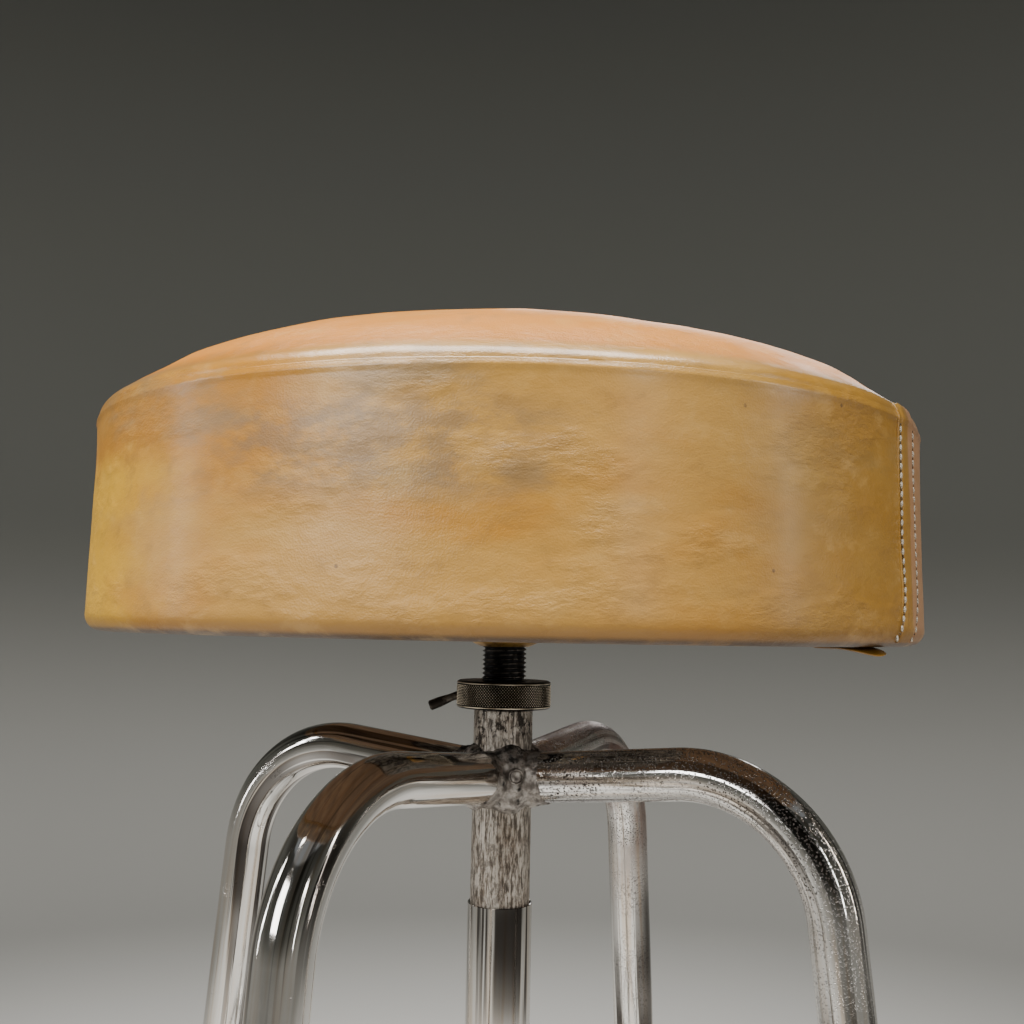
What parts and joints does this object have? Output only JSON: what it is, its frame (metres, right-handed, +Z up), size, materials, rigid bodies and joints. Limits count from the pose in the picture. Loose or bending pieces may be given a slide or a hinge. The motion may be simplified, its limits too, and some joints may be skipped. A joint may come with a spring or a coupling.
{
  "type": "bar stool with footrest",
  "caption": "Round leather bar stool on a screw spindle that raises the seat, with a knurled lock ring, splayed bent tube legs welded to a hub, and a ring footrest.",
  "frame": {"origin": "on the floor under the spindle's axis, at the centre of the four feet", "axes": "+Z up along the spindle; -Y is the front, between two legs; the legs stand at 45 degrees to X and Y"},
  "size_m": [0.36, 0.36, 0.72],
  "materials": {
    "leather": "worn tan hide, semi-gloss, fine wrinkles and smudges",
    "foam": "open-cell foam, hidden",
    "plywood": "raw birch plywood",
    "chrome": "polished chrome plate with pitting at the bends",
    "bare_steel": "bare turned steel with brown-grey patina",
    "dark_steel": "blackened, oiled steel",
    "weld": "weld bead with black flux at its edges",
    "brass": "dull brazing brass",
    "rubber": "matte black moulded rubber",
    "fibre": "red-brown fibre washer"
  },
  "bodies": {
    "frame": {"hub": "bare_steel", "hub_plug": "bare_steel", "column_sleeve": "chrome", "leg_1": "chrome", "leg_2": "chrome", "leg_3": "chrome", "leg_4": "chrome", "weld_1": "weld", "weld_2": "weld", "weld_3": "weld", "weld_4": "weld", "footrest_ring": "chrome", "footrest_screw_1": "dark_steel", "footrest_screw_2": "dark_steel", "footrest_screw_3": "dark_steel", "footrest_screw_4": "dark_steel", "foot_1": "rubber", "foot_2": "rubber", "foot_3": "rubber", "foot_4": "rubber", "foot_washer_1": "bare_steel", "foot_washer_2": "bare_steel", "foot_washer_3": "bare_steel", "foot_washer_4": "bare_steel"},
    "spindle_stop": {"stop_washer": "dark_steel"},
    "seat": {"seat_top_leather": "leather", "seat_band_leather": "leather", "seat_seam_strip": "leather", "seat_padding": "foam", "seat_board": "plywood", "seat_plate": "dark_steel", "seat_screw_1": "dark_steel", "seat_screw_2": "dark_steel", "seat_screw_3": "dark_steel", "seat_screw_4": "dark_steel", "spindle_boss": "brass", "spindle": "dark_steel", "stop_nut": "dark_steel"},
    "lock_seat": {"lock_washer": "fibre"},
    "lock": {"lock_ring": "dark_steel", "lock_lever": "dark_steel"}
  },
  "joints": [
    {"name": "seat_rise", "type": "slide", "parent": "frame", "child": "spindle_stop", "axis": [0, 0, 1], "range_m": [-0.01, 0.12]},
    {"name": "seat_turn", "type": "hinge", "parent": "spindle_stop", "child": "seat", "pos_m": [0, 0, 0.6], "axis": [0, 0, 1], "range_deg": [-1800, 21600]},
    {"name": "lock_rise", "type": "slide", "parent": "frame", "child": "lock_seat", "axis": [0, 0, 1], "range_m": [0, 0.004]},
    {"name": "lock_turn", "type": "hinge", "parent": "lock_seat", "child": "lock", "pos_m": [0, 0, 0.57], "axis": [0, 0, 1], "range_deg": [0, 720]}
  ],
  "couplings": [
    {"joint": "seat_turn", "follows": "seat_rise", "rad_per_m": 3141.6},
    {"joint": "lock_turn", "follows": "lock_rise", "rad_per_m": 3141.6}
  ]
}
